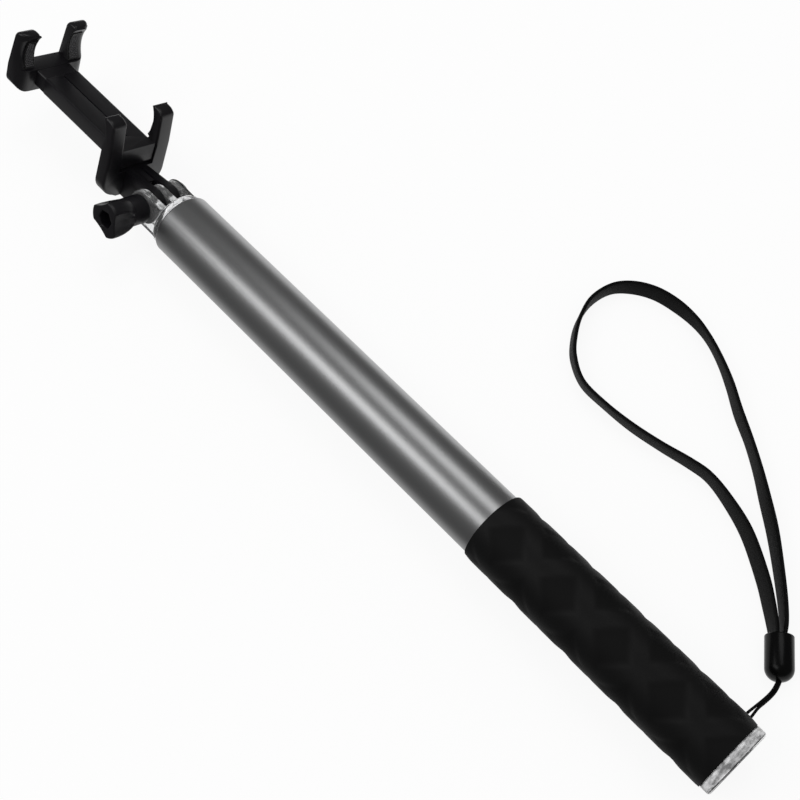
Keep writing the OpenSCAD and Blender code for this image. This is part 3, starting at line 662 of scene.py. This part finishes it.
def flat_section(width, thick, corner_steps=4):
    """Webbing's section: two flat sides joined by round edges."""
    r = thick / 2
    points = []
    for side in (1, -1):
        for i in range(corner_steps + 1):
            turn = pi / 2 - pi * i / corner_steps
            points.append((side * (width / 2 - r + r * cos(turn)), side * r * sin(turn)))
    return points


def round_section(diameter, sides):
    """Cord's section: a ring of points."""
    turns = [2 * pi * i / sides for i in range(sides)]
    return [(diameter / 2 * cos(turn), diameter / 2 * sin(turn)) for turn in turns]


class POLE_OT_stage(bpy.types.Operator):
    """Lay the floor, hang the lamps and set up the camera"""

    bl_idname = "camera_pole.stage"
    bl_label = "Stage"

    # Gap between the part and the floor
    floor_gap = 0.05 * MM
    # Name, place, size and power in watts of each lamp, and the point that they look at
    lamps = (
        ("left_box", (0.36, -0.46, 1.0), (0.6, 0.48), 1.75),
        ("right_box", (0.62, 0.58, 0.95), (1.0, 0.44), 3.4),
    )
    lamp_aim = (0.16, 0, 0)

    def execute(self, context):
        settings = context.scene.pole_stage
        context.scene.view_settings.view_transform = "Standard"
        self.lay_floor(settings)
        self.light_room(context.scene, settings)
        for name, at, size, power in self.lamps:
            self.hang_lamp(name, Vector(at), Vector(self.lamp_aim), size, power)
        self.place_camera(context.scene, settings)
        return {"FINISHED"}

    def lay_floor(self, settings):
        """Lays a pale disc that looks almost white, and that gloss shows as one bright strip."""
        deselect()
        bpy.ops.mesh.primitive_circle_add(
            vertices=64, radius=settings.floor_size, fill_type="NGON",
            location=(0, 0, GROUND - self.floor_gap))
        floor = settle(bpy.context.object)
        floor.name = "floor"
        made = bpy.data.materials.new("pale_floor")
        made.use_nodes = True
        made.node_tree.nodes.clear()
        wire = Wire(made.node_tree)
        camera, glossy, through = [
            wire.add("ShaderNodeLightPath", output=f"Is {ray} Ray")
            for ray in ("Camera", "Glossy", "Transmission")]
        across = wire.add("ShaderNodeSeparateXYZ", {}, {0: object_place(wire)}, output="Y")
        outside = (across - settings.strip_middle).math("ABSOLUTE") - settings.strip_width / 2
        strip = 1 - (outside / settings.strip_soft).math("MAXIMUM", 0.0).math("MINIMUM", 1.0)
        shine = settings.room_gloss + strip * (1 - settings.room_gloss)
        seen = ((camera + through) * settings.floor_glow).math("MINIMUM", 1.0)
        matt = wire.add("ShaderNodeBsdfDiffuse", {}, {"Color": rgba(settings.floor_colour)})
        white = wire.add("ShaderNodeEmission", {}, {
            "Color": WHITE, "Strength": glossy * shine + (1 - glossy)})
        mixed = wire.add("ShaderNodeMixShader", {}, {0: seen + (1 - seen) * glossy, 1: matt, 2: white})
        wire.add("ShaderNodeOutputMaterial", {}, {"Surface": mixed})
        floor.data.materials.append(made)

    def light_room(self, scene, settings):
        """Makes a white room that lights matt pieces more than it shows in gloss."""
        world = bpy.data.worlds.new("studio")
        world.use_nodes = True
        world.node_tree.nodes.clear()
        scene.world = world
        wire = Wire(world.node_tree)
        camera = wire.add("ShaderNodeLightPath", output="Is Camera Ray")
        diffuse = wire.add("ShaderNodeLightPath", output="Is Diffuse Ray")
        room = settings.room_gloss + diffuse * (settings.room_fill - settings.room_gloss)
        level = camera + (1 - camera) * room
        sky = wire.add("ShaderNodeBackground", {}, {"Color": WHITE, "Strength": level})
        wire.add("ShaderNodeOutputWorld", {}, {"Surface": sky})

    def hang_lamp(self, name, at, aim, size, power):
        """Hangs a soft box whose first side runs along the pole."""
        lamp = bpy.data.lights.new(name, "AREA")
        lamp.shape = "RECTANGLE"
        lamp.size, lamp.size_y = size
        lamp.energy = power
        hung = bpy.data.objects.new(name, lamp)
        along = Vector((1, 0, 0))
        back = (at - aim).normalized()
        up = back.cross(along).normalized()
        turn = Matrix((up.cross(back), up, back)).transposed()
        hung.matrix_world = Matrix.Translation(at) @ turn.to_4x4()
        bpy.context.collection.objects.link(hung)

    def place_camera(self, scene, settings):
        """Stands the camera where the settings say."""
        camera = bpy.data.cameras.new("camera")
        camera.lens = settings.camera_lens
        camera.sensor_width = 36
        camera.clip_start = 0.01
        stand = bpy.data.objects.new("camera", camera)
        at, aim = Vector(settings.camera_at), Vector(settings.camera_aim)
        stand.location = at
        stand.rotation_mode = "QUATERNION"
        stand.rotation_quaternion = (aim - at).to_track_quat("-Z", "Y")
        bpy.context.collection.objects.link(stand)
        scene.camera = stand


class POLE_OT_tubes(bpy.types.Operator):
    """Turn the outer tube and finish the tubes, bushes and locks inside it"""

    bl_idname = "camera_pole.tubes"
    bl_label = "Tubes"

    def execute(self, context):
        settings = context.scene.pole_tubes
        bore = TUBE_R - settings.tube_wall
        tube = turned("satin_tube", [
            (TUBE_LOW.x, TUBE_R), (TUBE_HIGH.x, TUBE_R), (TUBE_HIGH.x, bore), (TUBE_LOW.x, bore),
            (TUBE_LOW.x, TUBE_R)], bored=True)

        def at_mouth(a, b):
            return min(a.x, b.x) > TUBE_HIGH.x - MERGE and a.yz.length > TUBE_R - MERGE

        with editing(tube):
            pick_edges(tube, at_mouth)
            bpy.ops.mesh.bevel(offset=settings.mouth_round, segments=3, affect="EDGES")
        soften(tube, settings.rim_round)
        drill_strap_hole(tube)
        smooth_shade(tube)
        anodised = satin_metal("anodised", settings.tube_colour, settings.tube_roughness)
        stand_for(tube, "outer_tube", anodised)
        inner = satin_metal("inner_tubes", settings.inner_colour, settings.tube_roughness)
        for node in ("middle_tube", "inner_tube"):
            dress(node, inner)
        for name, shade, nodes in (
            ("bush", settings.bush_colour,
             ("mouth_bush", "middle_bush", "lower_lock_core", "upper_lock_core")),
            ("collet", settings.collet_colour, ("lower_lock_sleeve", "upper_lock_sleeve")),
        ):
            moulded = moulding(name, shade, roughness=0.5, grain_scale=4000, grain=0.15)
            for node in nodes:
                dress(node, moulded)
        return {"FINISHED"}


class POLE_OT_grip(bpy.types.Operator):
    """Model the rubber grip with its crossing raised bands"""

    bl_idname = "camera_pole.grip"
    bl_label = "Grip"

    # Steps of the skin's grid along the grip and round it
    rings = 144
    sides = 180

    def execute(self, context):
        settings = context.scene.pole_tubes
        low, high = GRIP_LOW.x, GRIP_HIGH.x
        base = GRIP_R - settings.band_height
        deselect()
        bpy.ops.mesh.primitive_cylinder_add(
            vertices=self.sides, radius=base, depth=high - low, end_fill_type="NOTHING",
            location=((low + high) / 2, 0, 0), rotation=(0, pi / 2, 0))
        grip = settle(bpy.context.object)
        grip.name = "banded_grip"
        with editing(grip):
            pick_edges(grip, lambda a, b: abs(a.x - b.x) > (high - low) / 2)
            bpy.ops.mesh.subdivide(number_cuts=self.rings // 2 - 1)
            pick_edges(grip, lambda a, b: abs(a.x - b.x) > MERGE)
            bpy.ops.mesh.subdivide(number_cuts=1)
        self.raise_bands(grip, settings)

        def on_rim(a, b):
            return abs(a.x - b.x) < MERGE and (a.x < low + MERGE or a.x > high - MERGE)

        with editing(grip):
            pick_edges(grip, on_rim)
            bpy.ops.mesh.extrude_region_move(TRANSFORM_OT_translate={"value": (0, 0, 0)})
            shrink = TUBE_R / base
            bpy.ops.transform.resize(value=(1, shrink, shrink), center_override=(0, 0, 0))
            bpy.ops.mesh.bridge_edge_loops()
            tidy_mesh()
        drill_strap_hole(grip)
        smooth_shade(grip)
        stand_for(grip, "grip_sleeve", grip_rubber("grip", settings.grip_colour))
        return {"FINISHED"}

    def raise_bands(self, grip, settings):
        """Weights the skin by the nearest band of either hand and lifts it by that weight."""
        lifts = []
        girth = 2 * pi * GRIP_R
        lead = settings.band_pitch * settings.band_starts
        square = girth / sqrt(girth ** 2 + lead ** 2)
        for vertex in grip.data.vertices:
            turn = atan2(vertex.co.z, vertex.co.y) - settings.band_phase
            lift = 0.0
            for hand in (1, -1):
                along = (vertex.co.x - GRIP_LOW.x + hand * lead * turn / (2 * pi)) / settings.band_pitch
                off = abs(along - round(along)) * settings.band_pitch * square
                slope = (settings.band_width / 2 + settings.band_soft / 2 - off) / settings.band_soft
                slope = min(max(slope, 0.0), 1.0)
                lift = max(lift, slope * slope * (3 - 2 * slope))
            lifts.append(lift)
        weights = grip.vertex_groups.new(name="lift")
        for i, lift in enumerate(lifts):
            weights.add([i], lift, "REPLACE")
        # The same weights go onto the mesh, where the grip's material paints a highlight on the crests with them
        grip.data.attributes.new("bands", "FLOAT", "POINT").data.foreach_set("value", lifts)
        apply(grip, "DISPLACE", strength=settings.band_height, mid_level=0.0, vertex_group="lift")


class POLE_OT_clear_ends(bpy.types.Operator):
    """Round the clear end cap and head, and finish the screw, nut and pin in them"""

    bl_idname = "camera_pole.clear_ends"
    bl_label = "Clear ends"

    def execute(self, context):
        settings = context.scene.pole_head
        for node, name, tint, streaks, clarity in (
            ("end_cap", "clear_end_cap",
             settings.cap_colour, settings.cap_painted_refraction, settings.cap_clarity),
            ("head_mount", "clear_head",
             settings.head_colour, settings.head_painted_refraction, settings.head_clarity),
        ):
            piece = copied(node, name)
            soften(piece, settings.clear_edge)
            stand_for(piece, node, clear_plastic(name, tint, streaks, clarity))
        steel = bright_steel("steel", settings.steel_colour)
        for node in ("pivot_nut", "pivot_screw", "strap_pin"):
            dress(node, steel)
        return {"FINISHED"}


class POLE_OT_knob(bpy.types.Operator):
    """Round the edges of the thumb knob and set a collar round its neck"""

    bl_idname = "camera_pole.knob"
    bl_label = "Thumb knob"

    def execute(self, context):
        settings = context.scene.pole_head
        knob = copied("pivot_knob", "thumb_knob")
        foot = min((vertex.co @ ROLL).y for vertex in knob.data.vertices)
        with editing(knob):
            bpy.ops.mesh.primitive_cylinder_add(
                vertices=96, radius=settings.collar_r, depth=settings.collar_len,
                location=PIVOT + ROLL @ Vector((0, foot + settings.collar_len / 2, 0)),
                rotation=(HEAD_ROLL - pi / 2, 0, 0))
        soften(knob, settings.knob_edge)
        textured = moulding(
            "knob", settings.knob_colour, roughness=0.36, grain_scale=5200, grain=0.15, gloss=0.4)
        stand_for(knob, "pivot_knob", textured)
        return {"FINISHED"}


class POLE_OT_clamp(bpy.types.Operator):
    """Round the clamp's mouldings and finish its pads, screws, spring and posts"""

    bl_idname = "camera_pole.clamp"
    bl_label = "Phone clamp"

    # Heights, with the roll taken out, at which the lower jaw's arms and the tips of both jaws start
    arm_from = 12 * MM
    lower_tip_from = 19 * MM
    upper_tip_from = 20 * MM
    # Half of the width that stays as it is, where bar and hinge join the lower jaw
    root_half = 7.2 * MM
    # How far from the lower jaw's outer face edges are rounded, at the sides of the tips and elsewhere
    tip_reach = 12 * MM
    jaw_reach = 4.3 * MM
    # How far edges that are rounded stay from the hollow, at the tips and elsewhere
    tip_clear = 0.6 * MM
    jaw_clear = 0.3 * MM
    # Share of an edge's length that runs across the clamp, from which it counts as running across
    across_share = 0.75
    # Least angle of the lower jaw's edges that are rounded more
    jaw_sharp = radians(20)

    def execute(self, context):
        settings = context.scene.pole_clamp
        smooth = moulding("clamp", settings.clamp_colour, roughness=0.34, grain_scale=6400, grain=0.12)
        for node, name, round_more in (
            ("clamp_body", "clamp_bar", self.round_jaw),
            ("clamp_slider", "sliding_jaw", self.round_tips),
        ):
            piece = copied(node, name)
            round_more(piece, settings)
            soften(piece, settings.clamp_edge, careful=True)
            stand_for(piece, node, smooth)
        dress("clamp_cover", smooth)
        dress("cover_screws", bright_steel("screws", settings.screw_colour))
        steel = bpy.data.materials["steel"]
        for node in ("clamp_spring", "spring_post_fixed", "spring_post_moving"):
            dress(node, steel)
        rubber = pad_rubber("pad", settings.pad_colour)
        for level, faces in (("lower", 1), ("upper", -1)):
            for side in ("left", "right"):
                node = f"{level}_{side}_pad"
                pad = copied(node, f"{level}_{side}_studded_pad")
                self.add_studs(pad, settings, faces)
                stand_for(pad, node, rubber)
        return {"FINISHED"}

    def round_jaw(self, bar, settings):
        """Rounds the outer edges and the tips of the lower jaw's arms more than the rest."""
        def outer(a, b):
            middle, across, hollow = self.edge_facts(a, b, HOLLOW_AT)
            tip = middle.z > self.lower_tip_from
            if middle.z > self.arm_from:
                side = tip or not across
            else:
                side = abs(middle.y) > self.root_half
            reach = self.tip_reach if tip and not across else self.jaw_reach
            clear = self.tip_clear if tip else self.jaw_clear
            return side and middle.x < JAW_X + reach and hollow > HOLLOW_R + clear

        with editing(bar):
            pick_edges(bar, outer, self.jaw_sharp)
            bpy.ops.mesh.bevel(
                offset=settings.jaw_edge, segments=5, affect="EDGES", clamp_overlap=False)

    def round_tips(self, jaw, settings):
        """Rounds the side edges at the tips of the upper jaw's arms, but for those round the hollow."""
        out = max(vertex.co.x for vertex in jaw.data.vertices)
        hollow_at = (out - HOLLOW_AT[0] + JAW_X, HOLLOW_AT[1])

        def outer(a, b):
            middle, across, hollow = self.edge_facts(a, b, hollow_at)
            tip = middle.z > self.upper_tip_from
            return tip and not across and hollow > HOLLOW_R + self.tip_clear

        with editing(jaw):
            pick_edges(jaw, outer, SHARP)
            bpy.ops.mesh.bevel(
                offset=settings.tip_edge, segments=4, affect="EDGES", clamp_overlap=False)

    def edge_facts(self, a, b, hollow_at):
        """Middle of an edge, whether it runs across, and how far it is from the hollow's middle."""
        middle = (a + b) / 2 @ ROLL
        run = (a - b) @ ROLL
        across = abs(run.y) > self.across_share * run.length
        return middle, across, (middle.xz - Vector(hollow_at)).length

    def add_studs(self, pad, settings, faces):
        """Sets rows of studs on the pad's hollow face, which looks along X by the sign of faces."""
        spots = [vertex.co @ ROLL for vertex in pad.data.vertices]
        low, high = [Vector([pick(axis) for axis in zip(*spots)]) for pick in (min, max)]
        back = low.x if faces > 0 else high.x
        middle = Vector((back + faces * PAD_R, (low.y + high.y) / 2, (low.z + high.z) / 2))
        face_r = PAD_R - PAD_T
        pitch = settings.stud_pitch
        rows = floor(2 * asin((high.z - low.z) / 2 / PAD_R) * face_r / pitch) - 1
        columns = floor((high.y - low.y) / pitch) - 1
        corner = Vector((columns - 1, rows - 1)) * pitch / 2 - Vector((1, 1)) * settings.stud_arch
        plain = len(pad.data.vertices)
        with editing(pad):
            for i, j in product(range(rows), range(columns)):
                up = (i - (rows - 1) / 2) * pitch
                aside = (j - (columns - 1) / 2 + (i % 2 - 0.5) / 2) * pitch
                past = Vector((-aside if middle.y > 0 else aside, up)) - corner
                if min(past) > 0 and past.length > settings.stud_arch:
                    continue
                turn = up / face_r
                spot = middle + Vector((-faces * face_r * cos(turn), aside, face_r * sin(turn)))
                bpy.ops.mesh.primitive_uv_sphere_add(
                    segments=8, ring_count=5, radius=settings.stud_r, location=ROLL @ spot)
        marks = [float(i >= plain) for i in range(len(pad.data.vertices))]
        pad.data.attributes.new("studs", "FLOAT", "POINT").data.foreach_set("value", marks)
        smooth_shade(pad)


class POLE_OT_strap(bpy.types.Operator):
    """Model the woven loop, the crimp and the pull cord"""

    bl_idname = "camera_pole.strap"
    bl_label = "Wrist strap"

    def execute(self, context):
        settings = context.scene.pole_strap
        crimp = self.make_crimp(settings)
        self.make_web(settings)
        self.make_cord(settings, crimp)
        return {"FINISHED"}

    def make_crimp(self, settings):
        """Turns the crimp, rounds its nose and lays it down."""
        crimp = turned("loop_crimp", [(0, CRIMP_R), (CRIMP_LEN, CRIMP_R)], sides=64)
        with editing(crimp):
            pick_edges(crimp, lambda a, b: max(a.x, b.x) < MERGE)
            bpy.ops.mesh.bevel(offset=settings.crimp_nose, segments=10, affect="EDGES")
            pick_edges(crimp, lambda a, b: min(a.x, b.x) > CRIMP_LEN - MERGE)
            bpy.ops.mesh.bevel(offset=settings.crimp_edge, segments=3, affect="EDGES")
        crimp.location = (*CRIMP_NOSE, GROUND + CRIMP_R)
        crimp.rotation_euler.z = CRIMP_TURN
        settle(crimp)
        smooth_shade(crimp)
        polished = moulding(
            "crimp", settings.crimp_colour, roughness=0.24, grain_scale=3000, grain=0.02, gloss=0.14)
        return stand_for(crimp, "strap_crimp", polished)

    def make_web(self, settings):
        """Lays the flat webbing along its route, from the crimp and back."""
        route = [(x, y, GROUND + high, lean) for x, y, high, lean in WEB_ROUTE]
        path = smooth_route(route, steps=8)
        leans = [radians(spot.w) for spot in path]
        web = swept("woven_loop", path, leans, flat_section(WEB_W, WEB_T))
        webbing = woven("webbing", settings.strap_colour, settings.rib_pitch, WARP_PITCH)
        stand_for(web, "strap_web", webbing)

    def make_cord(self, settings, crimp):
        """Threads the round cord from the crimp through the strap hole and back."""
        path = smooth_route(CORD_ROUTE, steps=6)
        cord = swept("pull_cord", path, [0.0] * len(path), round_section(CORD_D, sides=12))
        braid = woven("cord", settings.strap_colour, BRAID_PITCH, CORD_D * pi / BRAID_STRANDS)
        stand_for(cord, "strap_cord", braid)


class POLE_PT_sidebar(bpy.types.Panel):
    """Lists the steps and settings of the camera pole"""

    bl_idname = "POLE_PT_sidebar"
    bl_label = "Camera pole"
    bl_space_type = "VIEW_3D"
    bl_region_type = "UI"
    bl_category = "Camera pole"

    def draw(self, context):
        for operator in OPERATORS:
            self.layout.operator(operator.bl_idname)
        for name, group in SETTINGS.items():
            settings = getattr(context.scene, name)
            box = self.layout.box()
            box.label(text=group.__doc__)
            for field in group.__annotations__:
                box.prop(settings, field)


SETTINGS = {
    "pole_stage": StageSettings,
    "pole_tubes": PoleSettings,
    "pole_head": HeadSettings,
    "pole_clamp": ClampSettings,
    "pole_strap": StrapSettings,
}
OPERATORS = (
    POLE_OT_stage,
    POLE_OT_strap,
    POLE_OT_tubes,
    POLE_OT_grip,
    POLE_OT_clear_ends,
    POLE_OT_knob,
    POLE_OT_clamp,
)
CLASSES = (*SETTINGS.values(), *OPERATORS, POLE_PT_sidebar)


def register():
    """Makes the settings, steps and sidebar known to Blender."""
    for each in CLASSES:
        bpy.utils.register_class(each)
    for name, group in SETTINGS.items():
        setattr(bpy.types.Scene, name, PointerProperty(type=group))


def unregister():
    """Takes them away again."""
    for name in SETTINGS:
        delattr(bpy.types.Scene, name)
    for each in reversed(CLASSES):
        bpy.utils.unregister_class(each)


def main():
    """Runs every step in order."""
    register()
    bpy.ops.camera_pole.stage()
    bpy.ops.camera_pole.strap()
    bpy.ops.camera_pole.tubes()
    bpy.ops.camera_pole.grip()
    bpy.ops.camera_pole.clear_ends()
    bpy.ops.camera_pole.knob()
    bpy.ops.camera_pole.clamp()


if __name__ == "__main__":
    main()
